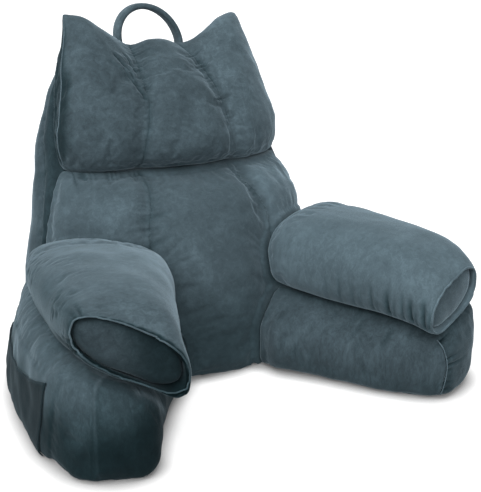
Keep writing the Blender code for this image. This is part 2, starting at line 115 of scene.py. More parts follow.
BODY_SEAM_LEFT = [
    (-0.214, 0.092, 0.585), (-0.235, 0.090, 0.543), (-0.246, 0.087, 0.510), (-0.252, 0.080, 0.480),
    (-0.257, 0.067, 0.445), (-0.261, 0.056, 0.411), (-0.270, 0.041, 0.359), (-0.281, 0.025, 0.318),
    (-0.290, 0.014, 0.280), (-0.297, 0.006, 0.244), (-0.312, -0.004, 0.180), (-0.332, -0.010, 0.100),
    (-0.346, -0.012, 0.030),
]
ARM_SEAMS = {
    "left": [
        (-0.364, -0.457, 0.178), (-0.361, -0.468, 0.167), (-0.363, -0.474, 0.141), (-0.367, -0.474, 0.110),
        (-0.370, -0.473, 0.075), (-0.373, -0.471, 0.040), (-0.374, -0.470, 0.010)],
    "right": [
        (0.282, -0.500, 0.124), (0.289, -0.509, 0.108), (0.294, -0.516, 0.088), (0.296, -0.518, 0.067),
        (0.294, -0.517, 0.041), (0.289, -0.512, 0.012)],
}
LEFT_ARM_FOLDS = [  # depth, width, points
    (0.0050, 0.0070, [
        (-0.284, -0.492, 0.134), (-0.276, -0.488, 0.120), (-0.268, -0.482, 0.104), (-0.262, -0.476, 0.086)]),
    (0.0025, 0.0060, [(-0.300, -0.494, 0.128), (-0.288, -0.494, 0.112), (-0.279, -0.490, 0.096)]),
]
LEFT_ARM_FOLD_HIGHLIGHT = [  # a painted highlight along a fold on the front panel
    (-0.290, -0.473, 0.143), (-0.270, -0.465, 0.129), (-0.256, -0.459, 0.110), (-0.236, -0.431, 0.078),
]
LEFT_ARM_PANEL = (0.70, -0.72, 0.0)  # the way in which the front panel's tone changes
RIGHT_ARM_LENGTH = (0.30, -0.95, 0)

SLEEVES = {  # side: the way its mouth faces, a line through its middle, its lumps' seed
    "left": ((-0.266, -0.964, 0.0), (-0.225, -0.07, 0.22), (-0.313, -0.52, 0.21), 51),
    "right": ((0.262, -0.965, 0.0), (0.225, -0.07, 0.22), (0.313, -0.52, 0.21), 53),
}
LEFT_SLEEVE_TIP = (-0.226, -0.528, 0.140)
LEFT_SLEEVE_DROOP = 0.016  # how far its tip hangs down
LEFT_SLEEVE_SIDE = [
    (-0.398, -0.470, 0.200), (-0.402, -0.474, 0.225), (-0.402, -0.474, 0.250), (-0.400, -0.474, 0.275),
    (-0.390, -0.476, 0.294), (-0.374, -0.480, 0.304),
]
RIGHT_SLEEVE_WALL = ((0.176, -0.372), (0.240, -0.506))  # two places along its inner side
RIGHT_SLEEVE_FOOT = 0.150  # height that its gathers start from
RIGHT_SLEEVE_GATHERS = [   # share of the way between the places, depth, how far up it runs, half width
    (-0.36, 0.0010, 0.080, 0.0060), (-0.17, 0.0016, 0.090, 0.0050), (0.02, 0.0020, 0.070, 0.0046),
    (0.13, 0.0012, 0.085, 0.0040), (0.29, 0.0030, 0.075, 0.0042), (0.37, 0.0014, 0.050, 0.0036),
    (0.51, 0.0064, 0.070, 0.0052), (0.60, 0.0020, 0.050, 0.0036), (0.71, 0.0030, 0.075, 0.0040),
    (0.82, 0.0066, 0.062, 0.0050), (0.90, 0.0026, 0.045, 0.0036), (1.00, 0.0064, 0.072, 0.0048),
    (1.08, 0.0036, 0.050, 0.0038), (1.15, 0.0020, 0.060, 0.0036),
]
PAD_EASE = 0.0004       # how far a pad is drawn in from its solid
# The pad velvet is darkened as painted shade in the left sleeve's mouth; the right pad is painted this much
# lighter.
PAD_RIGHT_TONE = 1.5
RIM_BAND = 0.0012       # depth of the ring of points that makes a sleeve's rim
RIM_STEPS = 48
RIM_REACH = 0.12        # half the angle that each step looks over

POCKET_TOP = [  # y and z along the pocket's open edge, front to rear
    (-0.410, 0.158), (-0.389, 0.151), (-0.353, 0.140), (-0.314, 0.129), (-0.260, 0.120), (-0.200, 0.114),
    (-0.100, 0.106), (0.030, 0.100),
]
POCKET_FRONT = ((-0.390, 0.150), (-0.350, 0.006))  # y and z at the front edge's top and foot
POCKET_REAR = 0.010       # y of its rear edge
POCKET_GRID = (60, 24)    # faces along and up the pocket
POCKET_THICKNESS = 0.0022
POCKET_LIFT = 0.0008
POCKET_HEM = (0.0009, 0.007)  # how far the hem stands out, how wide it is
# The pocket is painted dark: painted shade, low on the arm's outer side.
POCKET_TONE = 0.19

# ---- the two ears and the top of the head section ------------------------------
EAR_RANGE = (0.60, 0.65)  # heights between which the ears begin
EAR_RISE = 0.0095
EAR_MIDDLE = 0.163        # distance of an ear from the middle
EAR_WIDTH = 0.032
EAR_ROUNDING = 220        # smoothing steps
EAR_RESTORE = 0.45        # share of the height lost in rounding that is given back
EAR_FULL = (0.0075, 0.148, 0.036)  # extra rise inboard of the tip: height, middle, width
TOP_FULL = (0.005, -0.008, 0.050)  # the same for the top between the ears
EDGE_TUCK = 0.005         # how far the left edge is drawn in

# ---- light, floor and camera ---------------------------------------------------
WORLD = 0.06
LIGHTS = [  # name, where it stands, how wide it looks in degrees, strength
    ("light_upper_left", (-0.70, -0.45, 1.0), 50.0, 2.16),
    ("light_left", (-1.0, -0.10, 0.45), 50.0, 0.48),
    ("light_front", (-0.35, -1.0, 0.45), 50.0, 2.08),
    ("light_back", (0.0, 0.80, 1.0), 60.0, 0.63),
]
FLOOR_SIZE = 600.0
FLOOR_GREY = 0.45
SHADOW_REACH = 0.035
FLOOR_OPEN = (0.35, 0.95)  # how open the floor is to the sky, from dark to light
FLOOR_GLOW = (0.05, 0.85)
CAMERA_PLACE = (-0.7191, -1.5691, 0.7354)
CAMERA_TURN = 28.92
CAMERA_DOWN = 17.03
CAMERA_LENS = 61.46
CAMERA_SENSOR = 36.0

# ---- velvet --------------------------------------------------------------------
NAP = (0.052, 0.075, 0.088)
REFLECTION = (0.45, 0.82, 1.0, 1.0)
SHEEN = (0.52, 0.68, 0.78, 1.0)
SHEEN_WEIGHT = 0.55
DARK_IS_BLUER = 0.22
EVEN = (1.0, 1.0, 1.0)
# The shade column makes lighter and darker copies of one velvet, fitted to how bright each piece looks under
# these lamps: painted light and shade. The welts' light copy is a painted highlight along the seams.
VELVETS = {  # look: shade, seed, how closely the brushing repeats along x, y and z, contrast
    "head": (0.96, 1, EVEN, 1.0),
    "lumbar": (1.08, 2, EVEN, 0.75),
    "body": (0.95, 3, (1.0, 1.0, 0.6), 1.0),
    "sleeve_left": (1.24, 4, (1.0, 1.6, 1.6), 1.0),
    "sleeve_right": (1.48, 5, (1.3, 1.3, 0.7), 0.7),
    "arm_left": (1.15, 6, (1.3, 1.3, 0.7), 1.0),
    "arm_right": (0.84, 7, (1.4, 1.4, 0.5), 1.0),
    "pocket": (0.66, 8, (1.3, 1.3, 0.5), 1.0),
    "pad": (0.72, 9, EVEN, 1.0),
    "strap": (1.2, 10, EVEN, 1.0),
    "welt": (1.6, 11, EVEN, 1.0),
}


# ---- mesh tools ----------------------------------------------------------------
def read(mesh):
    """The mesh's points, one row each."""
    co = np.empty(len(mesh.vertices) * 3)
    mesh.vertices.foreach_get("co", co)
    return co.reshape(-1, 3)


def write(mesh, co):
    """Puts the mesh's points where the rows say."""
    mesh.vertices.foreach_set("co", np.ascontiguousarray(co).ravel())
    mesh.update()


def normals(mesh):
    """The way the surface faces at each point."""
    no = np.empty(len(mesh.vertices) * 3)
    mesh.vertex_normals.foreach_get("vector", no)
    return no.reshape(-1, 3)


def neighbours(mesh):
    """A function that adds a value up over each point's neighbours, and their number."""
    ends = np.empty(len(mesh.edges) * 2, dtype=np.int32)
    mesh.edges.foreach_get("vertices", ends)
    a, b = ends.reshape(-1, 2).T
    count = len(mesh.vertices)

    def total(values):
        return (np.bincount(a, weights=values[b], minlength=count)
                + np.bincount(b, weights=values[a], minlength=count))

    met = np.maximum(np.bincount(a, minlength=count) + np.bincount(b, minlength=count), 1)
    return total, met


def relax(mesh, times, weight=0.5):
    """Smooths the mesh by pulling each point towards its neighbours, by weight."""
    total, met = neighbours(mesh)
    co = read(mesh)
    for _ in range(times):
        mean = np.stack([total(co[:, k]) for k in range(3)], axis=1)
        co += weight * (mean / met[:, None] - co)
    write(mesh, co)


def blur(mesh, values, times):
    """Evens a value out over neighbouring points."""
    total, met = neighbours(mesh)
    for _ in range(times):
        values = 0.5 * values + 0.5 * total(values) / met
    return values


def evaluated(made):
    """The object as its modifiers leave it."""
    return made.evaluated_get(bpy.context.evaluated_depsgraph_get())


def from_modifiers(made):
    """The mesh that an object's modifiers make, in place of its own."""
    fine = bpy.data.meshes.new_from_object(evaluated(made))
    made.modifiers.clear()
    made.data = fine
    return fine


def new_object(name, data):
    """A new object in the scene."""
    made = bpy.data.objects.new(name, data)
    bpy.context.scene.collection.objects.link(made)
    return made


def tree_of(mesh):
    """The mesh's faces, for finding what is nearest or is hit."""
    return BVHTree.FromPolygons([v.co for v in mesh.vertices], [tuple(p.vertices) for p in mesh.polygons])


def swell(made, node, seams, extra):
    """Lets the cloth, cut a little too large, swell over its filling. It is held along
    its seams and where another piece lies close, and keeps its mean size."""
    start = read(made.data)
    out = normals(made.data).copy()
    held = np.zeros(len(start), dtype=bool)
    for seam in seams:
        held |= Path(made, seam).dist < SEAM_HOLD
    for name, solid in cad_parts.items():
        if name != node:
            tree = tree_of(solid.data)
            held |= np.array([tree.find_nearest(Vector(p), NEAR)[0] is not None for p in start])
    group = made.vertex_groups.new(name="held")
    group.add(np.flatnonzero(held).tolist(), 1.0, "REPLACE")
    cloth = made.modifiers.new("Swell", "CLOTH")
    cloth.settings.use_pressure = True
    cloth.settings.uniform_pressure_force = SWELL_PRESSURE
    cloth.settings.effector_weights.gravity = 0.0
    cloth.settings.vertex_group_mass = "held"
    cloth.settings.shrink_min = -extra
    cloth.settings.mass = CLOTH_MASS
    cloth.settings.bending_stiffness = CLOTH_STIFFNESS
    cloth.settings.quality = 4
    cloth.collision_settings.use_collision = False
    cloth.point_cache.frame_start = 1
    cloth.point_cache.frame_end = SWELL_FRAMES
    for number in range(1, SWELL_FRAMES + 1):
        bpy.context.scene.frame_set(number)
    moved = read(evaluated(made).data) - start
    bpy.context.scene.frame_set(1)
    made.modifiers.clear()
    made.vertex_groups.clear()
    rise = (moved * out).sum(1)
    moved -= out * (rise[~held].mean() * ~held)[:, None]
    far = np.linalg.norm(moved, axis=1)
    moved *= np.minimum(1.0, SWELL_CAP / np.maximum(far, 1e-9))[:, None]
    write(made.data, start + moved)


def soft_copy(node, seams=()):
    """A finely meshed, smoothed copy of a CAD solid, standing in for its node. Where
    its cloth is cut too large, it is a stuffed piece that swells."""
    voxel, smooth, extra = CLOTHS[node]
    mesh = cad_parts[node].data.copy()
    shape = bmesh.new()
    shape.from_mesh(mesh)
    bmesh.ops.remove_doubles(shape, verts=shape.verts, dist=1e-5)
    shape.to_mesh(mesh)
    shape.free()
    made = new_object(f"{node}_cloth", mesh)
    remesh = made.modifiers.new("Fine", "REMESH")
    remesh.mode = "VOXEL"
    remesh.voxel_size = voxel
    fine = from_modifiers(made)
    fine.materials.clear()
    relax(fine, smooth)
    if extra:
        swell(made, node, seams, extra)
        made.modifiers.new("Round", "SUBSURF").levels = 1
        fine = from_modifiers(made)
    fine.shade_smooth()
    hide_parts(node)
    return made


def displace(made, amount):
    """Moves each point out along its normal."""
    co = read(made.data) + normals(made.data) * amount[:, None]
    write(made.data, co)


def on_floor(made):
    """Flattens what would reach through the floor."""
    co = read(made.data)
    co[:, 2] = np.maximum(co[:, 2], 0.0)
    write(made.data, co)


# ---- curves of numbers ---------------------------------------------------------
def step(x, low, high):
    """0 below low, 1 above high, smooth between."""
    t = np.clip((x - low) / (high - low), 0.0, 1.0)
    return t * t * (3 - 2 * t)


def bell(x, width, middle=0.0):
    """1 at the middle, falling to 0 over about twice the width."""
    return np.exp(-((x - middle) / width) ** 2)


def waves(places, size, seed, count=18):
    """Smooth random relief of about unit height whose bumps are size wide."""
    random = np.random.default_rng(seed)
    way = random.normal(size=(count, 3))
    way /= np.linalg.norm(way, axis=1)[:, None]
    way *= (2 * math.pi / size * (0.6 + 0.8 * random.random(count)))[:, None]
    phase = random.random(count) * 2 * math.pi
    total = np.zeros(len(places))
    for k in range(count):
        total += np.sin(places @ way[k] + phase[k])
    return total / math.sqrt(count / 2)


# ---- tone: painted light and shade on the points -------------------------------
def tone(made, shade):
    """Stores each point's tone for the velvet to read: painted light and shade, and a few stitch lines."""
    layer = made.data.attributes.new("tone", "FLOAT", "POINT")
    layer.data.foreach_set("value", np.clip(shade, 0.0, 4.0).astype(np.float32))


def around(path, width, factor):
    """A tone that goes to factor along a line."""
    return 1.0 + (factor - 1.0) * bell(path.dist, width)


def zone(values, begin, end, factor):
    """A tone that goes from 1 to factor as values go from begin to end."""
    return 1.0 + (factor - 1.0) * step((values - begin) / (end - begin), 0.0, 1.0)


def painted_contact_shade(made, node, reach=0.008, dark=0.5):
    """A painted shade that falls where a neighbouring solid presses on the piece."""
    tree = tree_of(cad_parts[node].data)
    limit = 4 * reach
    hits = [tree.find_nearest(v.co, limit)[3] for v in made.data.vertices]
    far = np.array([limit if h is None else h for h in hits])
    return 1.0 - (1.0 - dark) * np.exp(-far / reach) * step(limit - far, 0.0, reach)


def shaded(creases, amount=120.0):
    """A painted shade that falls where the cloth dips into a crease."""
    return np.exp(amount * np.minimum(creases, 0.0))


# ---- shapes of cloth -----------------------------------------------------------
class Path:
    """A line laid on a piece's surface. For every point of the piece: dist, how far
    off the line it is; along, where along the line; side, which side of it."""

    def __init__(self, made, points, tree=None):
        tree = tree or tree_of(made.data)
        rough = [tree.find_nearest(Vector(p))[0] for p in points]
        hits = [tree.find_nearest(p) for p in self.smooth_line(rough)]
        self.line = np.array([h[0] for h in hits])
        self.out = np.array([h[1] for h in hits])
        steps = np.linalg.norm(np.diff(self.line, axis=0), axis=1)
        self.run = np.concatenate([[0], np.cumsum(steps)])
        self.length = self.run[-1]
        co = read(made.data)
        stops = KDTree(len(self.line))
        for number, place in enumerate(self.line):
            stops.insert(place, number)
        stops.balance()
        found = [stops.find(place) for place in co]
        nearest = np.array([f[1] for f in found])
        self.dist = np.array([f[2] for f in found])
        self.along = self.run[nearest]
        ahead = np.gradient(self.line, axis=0)
        across = np.cross(self.out, ahead)
        across /= np.maximum(np.linalg.norm(across, axis=1), 1e-9)[:, None]
        self.side = ((co - self.line[nearest]) * across[nearest]).sum(1)

    @staticmethod
    def smooth_line(rough):
        """Closely spaced points on a smooth curve through the rough ones."""
        fine = []
        for i in range(len(rough) - 1):
            a = rough[max(i - 1, 0)]
            b = rough[i]
            c = rough[i + 1]
            d = rough[min(i + 2, len(rough) - 1)]
            steps = max(int((c - b).length / PATH_STEP), 1)
            for k in range(steps):
                t = k / steps
                fine.append(0.5 * (2 * b + (c - a) * t + (2 * a - 5 * b + 4 * c - d) * t * t
                                   + (3 * b - a - 3 * c + d) * t ** 3))
        fine.append(rough[-1])
        return fine

    def ends(self, fade):
        """1 along the line, falling to 0 at its two ends."""
        return step(self.along, -1e-6, fade) * step(self.length - self.along, -1e-6, fade)

    def groove(self, depth, width, fade=0.0):
        """A round-bottomed valley."""
        shape = -depth * bell(self.dist, width)
        return shape * self.ends(fade) if fade else shape

    def crease(self, depth, reach, fade=0.0):
        """A sharp-bottomed valley, as a row of stitches pulls."""
        shape = -depth * np.exp(-self.dist / reach)
        return shape * self.ends(fade) if fade else shape

    def fold(self, depth, width, fade=0.012):
        """A soft fold: a valley with one raised lip."""
        lip = bell(self.side, 1.3 * width, 1.6 * width) * bell(self.dist, 3 * width)
        return (-depth * bell(self.dist, width) + 0.55 * depth * lip) * self.ends(fade)

    def puckers(self, depth, reach, pitch, seed, side=0, lean=0.22, span=(0.0, 1.0)):
        """Short creases that run off the line, uneven in depth, length and spacing."""
        random = np.random.default_rng(seed)
        run = self.along / pitch
        places = run + 0.34 * np.sin(1.9 * run + seed) + 0.22 * np.sin(0.83 * run + 2.0 * seed)
        number = places + lean * self.side / pitch + 0.5
        index = np.clip(np.floor(number).astype(int) + 8, 0, 199)
        strength = (0.15 + 0.85 * random.random(200) ** 1.6)[index]
        long = (0.35 + 0.85 * random.random(200))[index] * reach
        gap = np.abs(number - np.floor(number) - 0.5) * pitch
        shape = -depth * strength * bell(gap, 0.26 * pitch) * bell(self.dist, long)
        if side:
            shape *= step(self.side * side, -0.002, 0.002)
        share = self.along / self.length
        begin = step(share, span[0] - 0.06, span[0] + 0.06)
        end = step(1.0 - share, 0.94 - span[1], 1.06 - span[1])
        return shape * self.ends(0.004) * (begin * end)


def lumps(made, seed, height=0.0016, size=0.085):
    """Uneven filling under the cloth."""
    co = read(made.data)
    return height * waves(co, size, seed) + 0.35 * height * waves(co, size * 0.42, seed + 1)


def cross_folds(co, axis, pitch, seed, spread=4.0):
    """Soft wrinkles that run round a bolster, across its long axis."""
    axis = np.array(axis) / np.linalg.norm(axis)
    off = co @ axis
    local = (co - off[:, None] * axis) / spread + off[:, None] * axis
    relief = waves(local, pitch, seed)
    patch = step(waves(co, 0.10, seed + 7), -0.8, 1.2)
    return (0.7 - np.abs(relief) ** 0.8) * patch


def outside(made, start, end):
    """1 on the skin that faces away from the line from start to end, 0 on a hollow's wall."""
    start = np.array(start)
    way = np.array(end) - start
    co = read(made.data)
    share = np.clip((co - start) @ way / (way @ way), 0.0, 1.0)
    away = co - start - share[:, None] * way
    away /= np.maximum(np.linalg.norm(away, axis=1), 1e-9)[:, None]
    return step((normals(made.data) * away).sum(1), -0.2, 0.3)


def rim_points(node, facing):
    """The outer edge of a sleeve's mouth, in order round it."""
    co = read(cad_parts[node].data)
    facing = facing / np.linalg.norm(facing)
    reach = co @ facing
    ring = co[reach > reach.max() - RIM_BAND]
    middle = ring.mean(0)
    across = (ring - middle) @ np.cross((0.0, 0.0, 1.0), facing)
    high = (ring - middle)[:, 2]
    angle = np.arctan2(high, across)
    far = np.hypot(high, across)
    points = []
    for k in range(RIM_STEPS):
        turn = (angle - 2 * math.pi * k / RIM_STEPS + math.pi) % (2 * math.pi) - math.pi
        picked = np.flatnonzero(np.abs(turn) < RIM_REACH)
        if len(picked):
            points.append(tuple(ring[picked[far[picked].argmax()]]))
    points.append(points[0])
    return points


def welt(name, path, radius=0.0011, dim=None):
    """A thin rounded line of stitching along a seam; its light velvet is a painted highlight.
    Below the height dim[0] its tone goes to dim[1], as painted shade, and above it is 1."""
    curve = bpy.data.curves.new(name, "CURVE")
    curve.dimensions = "3D"
    curve.bevel_depth = radius
    curve.bevel_resolution = 2
    line = curve.splines.new("POLY")
    places = (path.line + path.out * WELT_LIFT)[::2]
    line.points.add(len(places) - 1)
    for point, place in zip(line.points, places):
        point.co = (*place, 1.0)
    rounded = new_object(name + "_curve", curve)
    mesh = bpy.data.meshes.new_from_object(evaluated(rounded))
    bpy.data.objects.remove(rounded)
    made = new_object(name, mesh)
    mesh.shade_smooth()
    height = read(mesh)[:, 2]
    tone(made, zone(height, dim[0], dim[0] - 0.02, dim[1]) if dim else np.ones(len(height)))
    finish_piece(made, "welt")


# ---- materials -----------------------------------------------------------------
def velvet(name, shade, seed, streak, contrast):
    """Short-pile velvet: brushed patches of lighter and darker nap, fine pile."""
    made = bpy.data.materials.new(name)
    made.use_nodes = True
    tree = made.node_tree
    nodes = tree.nodes
    nodes.clear()

    def node(kind, **values):
        new = nodes.new(kind)
        for key, value in values.items():
            if key in new.inputs:
                new.inputs[key].default_value = value
            else:
                setattr(new, key, value)
        return new

    def mix(share, a, b):
        new = node("ShaderNodeMix", data_type="FLOAT")
        new.inputs[0].default_value = share
        link(*a, new, "A")
        link(*b, new, "B")
        return new

    def link(a, out, b, into):
        tree.links.new(a.outputs[out], b.inputs[into])

    out = node("ShaderNodeOutputMaterial")
    shader = node("ShaderNodeBsdfPrincipled", Roughness=0.92)
    shader.inputs["Specular IOR Level"].default_value = 0.12
    shader.inputs["Specular Tint"].default_value = REFLECTION
    shader.inputs["Sheen Roughness"].default_value = 0.42
    shader.inputs["Sheen Tint"].default_value = SHEEN
    link(shader, "BSDF", out, "Surface")
    place = node("ShaderNodeTexCoord")
    moved = node("ShaderNodeMapping")
    moved.inputs["Location"].default_value = (seed * 1.37, seed * 0.71, seed * 2.13)
    moved.inputs["Scale"].default_value = streak
    link(place, "Object", moved, "Vector")
    patches = node("ShaderNodeTexNoise", Scale=15.0, Detail=6.0, Roughness=0.66, Distortion=0.4)
    strokes = node("ShaderNodeTexNoise", Scale=78.0, Detail=4.0, Roughness=0.65, Distortion=0.8)
    grain = node("ShaderNodeTexNoise", Scale=420.0, Detail=3.0, Roughness=0.7)
    pile = node("ShaderNodeTexNoise", Scale=1500.0, Detail=2.0, Roughness=0.6)
    for texture in (patches, strokes, grain):
        link(moved, "Vector", texture, "Vector")
    link(place, "Object", pile, "Vector")
    brushed = mix(0.5, (patches, "Fac"), (strokes, "Fac"))
    nap = mix(0.2, (brushed, "Result"), (grain, "Fac"))
    ramp = node("ShaderNodeValToRGB")
    colours = ramp.color_ramp.elements
    colours.new(0.50)
    for colour, position, level in zip(colours, (0.30, 0.50, 0.70), (-0.52, 0.0, 0.75)):
        colour.position = position
        colour.color = (*(c * shade * (1.0 + level * contrast) for c in NAP), 1.0)
    link(nap, "Result", ramp, "Fac")
    # The tone scales the colour and the sheen: it carries painted light and shade.
    painted_light_tone = node("ShaderNodeAttribute", attribute_name="tone")
    deeper = node("ShaderNodeMath", operation="POWER", use_clamp=True)  # where the painted shade darkens it, the colour is bluer
    deeper.inputs[1].default_value = DARK_IS_BLUER
    link(painted_light_tone, "Fac", deeper, 0)
    hue = node("ShaderNodeCombineXYZ", Y=1.0, Z=1.0)
    link(deeper, "Value", hue, "X")
    blued = node("ShaderNodeVectorMath", operation="MULTIPLY")
    link(ramp, "Color", blued, 0)
    link(hue, "Vector", blued, 1)
    toned = node("ShaderNodeVectorMath", operation="SCALE")
    link(blued, "Vector", toned, 0)
    link(painted_light_tone, "Fac", toned, "Scale")
    link(toned, "Vector", shader, "Base Color")
    sheen = node("ShaderNodeMath", operation="MULTIPLY", use_clamp=True)
    sheen.inputs[1].default_value = SHEEN_WEIGHT
    link(painted_light_tone, "Fac", sheen, 0)
    link(sheen, "Value", shader, "Sheen Weight")
    relief = mix(0.35, (strokes, "Fac"), (pile, "Fac"))
    bump = node("ShaderNodeBump", Strength=0.35, Distance=0.0016)
    link(relief, "Result", bump, "Height")
    link(bump, "Normal", shader, "Normal")
    return made


LOOKS = {look: velvet(f"velvet_{look}", *values) for look, values in VELVETS.items()}


def lighten(made):
    """Joins small faces up where a piece has more of them than it needs."""
    count = sum(len(face.vertices) - 2 for face in made.data.polygons)
    if count > MOST_TRIANGLES:
        fewer = made.modifiers.new("Fewer", "DECIMATE")
        fewer.ratio = MOST_TRIANGLES / count
        from_modifiers(made).shade_smooth()


def finish_piece(made, look):
    """Gives a piece its velvet and its body, first thinning out its faces if it has too many."""
    if "tone" not in made.data.attributes:
        tone(made, np.ones(len(made.data.vertices)))
    lighten(made)
    made.data.materials.clear()
    made.data.materials.append(LOOKS[look])
    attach(made, "root")


# ---- pieces --------------------------------------------------------------------
def round_ears(made):
    """Raises and rounds the two ears, and draws the left edge in. Gives back the
    places of the points before the rounding."""
    co = read(made.data)
    ears = step(co[:, 2], *EAR_RANGE)
    co[:, 2] += EAR_RISE * ears * bell(np.abs(co[:, 0]), EAR_WIDTH, EAR_MIDDLE)
    edge = step(-co[:, 0], low=0.19, high=0.24) * step(0.60 - co[:, 2], low=0.0, high=0.06)
    co[:, 0] += EDGE_TUCK * edge
    write(made.data, co)
    relax(made.data, EAR_ROUNDING, 0.5 * ears[:, None])
    rounded = read(made.data)
    for sign in (-1.0, 1.0):
        ear = sign * rounded[:, 0] > 0.06
        drop = co[ear, 2].max() - rounded[ear, 2].max()
        rounded[ear, 2] += EAR_RESTORE * drop * step(rounded[ear, 2], low=0.60, high=0.68)
    rise, middle, width = EAR_FULL
    top = step(rounded[:, 2], low=0.59, high=0.65)
    rounded[:, 2] += rise * bell(np.abs(rounded[:, 0]), width, middle) * top
    rise, middle, width = TOP_FULL
    top = step(rounded[:, 2], low=0.57, high=0.63)
    rounded[:, 2] += rise * bell(rounded[:, 0], width, middle) * top
    write(made.data, rounded)
    return co


def head():
    made = soft_copy("head_cushion", (HEAD_SEAM_LEFT, HEAD_SEAM_RIGHT))
    co = round_ears(made)
    left = Path(made, HEAD_SEAM_LEFT)
    right = Path(made, HEAD_SEAM_RIGHT)
    creases = left.crease(depth=0.0040, reach=0.0030) + right.crease(depth=0.0032, reach=0.0030)
    creases += left.puckers(depth=0.0040, reach=0.026, pitch=0.014, seed=3, span=(0.0, 0.5))
    creases += left.puckers(depth=0.0012, reach=0.016, pitch=0.017, seed=4, span=(0.5, 1.0))
    creases += right.puckers(depth=0.0038, reach=0.022, pitch=0.013, seed=5, span=(0.15, 0.66))
    for depth, width, points in HEAD_FOLDS:
        creases += Path(made, points).fold(1.25 * depth, width)
    grooves = left.groove(depth=0.0025, width=0.011) + right.groove(depth=0.0020, width=0.011)
    # Painted light on the right panel; painted shade in the creases and where the lumbar cushion lies close.
    painted_light_right = zone(co[:, 0], begin=0.06, end=0.11, factor=1.35)
    shade = painted_light_right * shaded(creases) * painted_contact_shade(made, "lumbar_cushion")
    # Painted shade on the head's left and right sides, picked by which way they face.
    facing = blur(made.data, normals(made.data)[:, 0], times=60)
    left_side = zone(-facing, begin=0.70, end=0.90, factor=0.35)
    right_side = zone(facing, begin=0.80, end=0.95, factor=0.6)
    shade *= left_side * right_side
    displace(made, lumps(made, seed=11, height=0.0008) + grooves + creases)
    tone(made, shade)
    finish_piece(made, "head")
    for name, points in HEAD_EDGES.items():
        welt(f"head_welt_{name}", Path(made, points))


def lumbar():
    made = soft_copy("lumbar_cushion", (LUMBAR_SEAM_LEFT, LUMBAR_SEAM_RIGHT))
    left = Path(made, LUMBAR_SEAM_LEFT)
    right = Path(made, LUMBAR_SEAM_RIGHT)
    creases = left.puckers(depth=0.0024, reach=0.030, pitch=0.016, seed=7, span=(0.3, 1.0))
    creases += right.puckers(depth=0.0020, reach=0.024, pitch=0.016, seed=9)
    creases += Path(made, LUMBAR_TOP).puckers(depth=0.0046, reach=0.026, pitch=0.013, seed=19)
    grooves = np.zeros(len(creases))
    for seam in (left, right):
        creases += seam.crease(depth=0.0040, reach=0.0040, fade=0.05)
        grooves += seam.groove(depth=0.0040, width=0.013, fade=0.05)
    across, _, height = read(made.data).T
    # Painted shade towards the floor and painted light on the right and left panels; further down, painted
    # shade in the creases and where the head and sleeves lie close.
    foot = zone(-height, begin=-0.24, end=-0.05, factor=0.58)
    painted_light_right = zone(across, begin=0.11, end=0.15, factor=1.5)
    painted_light_left = zone(across, begin=-0.10, end=-0.14, factor=1.12)
    shade = foot * painted_light_right * painted_light_left
    displace(made, lumps(made, seed=21, height=0.0008) + grooves + creases)
    on_floor(made)
    shade *= shaded(creases) * painted_contact_shade(made, "head_cushion", reach=0.006, dark=0.4)
    for side in ("left", "right"):
        shade *= painted_contact_shade(made, f"arm_sleeve_{side}", reach=0.010, dark=0.5)
    tone(made, shade)
    finish_piece(made, "lumbar")


def body():
    made = soft_copy("back_body")
    seam = Path(made, [(x, y + BODY_SEAM_BACK, z) for x, y, z in BODY_SEAM_LEFT])
    left_side = step(-read(made.data)[:, 0], low=0.10, high=0.16)
    front = step(seam.side, low=-0.002, high=0.002) * left_side
    puckers = seam.puckers(depth=0.0034, reach=0.020, pitch=0.016, seed=33)
    groove = seam.groove(depth=0.0040, width=0.008)
    displace(made, lumps(made, seed=31, height=0.0012, size=0.11) + groove + puckers)
    on_floor(made)
    # Painted shade in front of the side seam and in the puckers.
    tone(made, (1.0 - BODY_FRONT_SHADE * front) * shaded(puckers))
    finish_piece(made, "body")


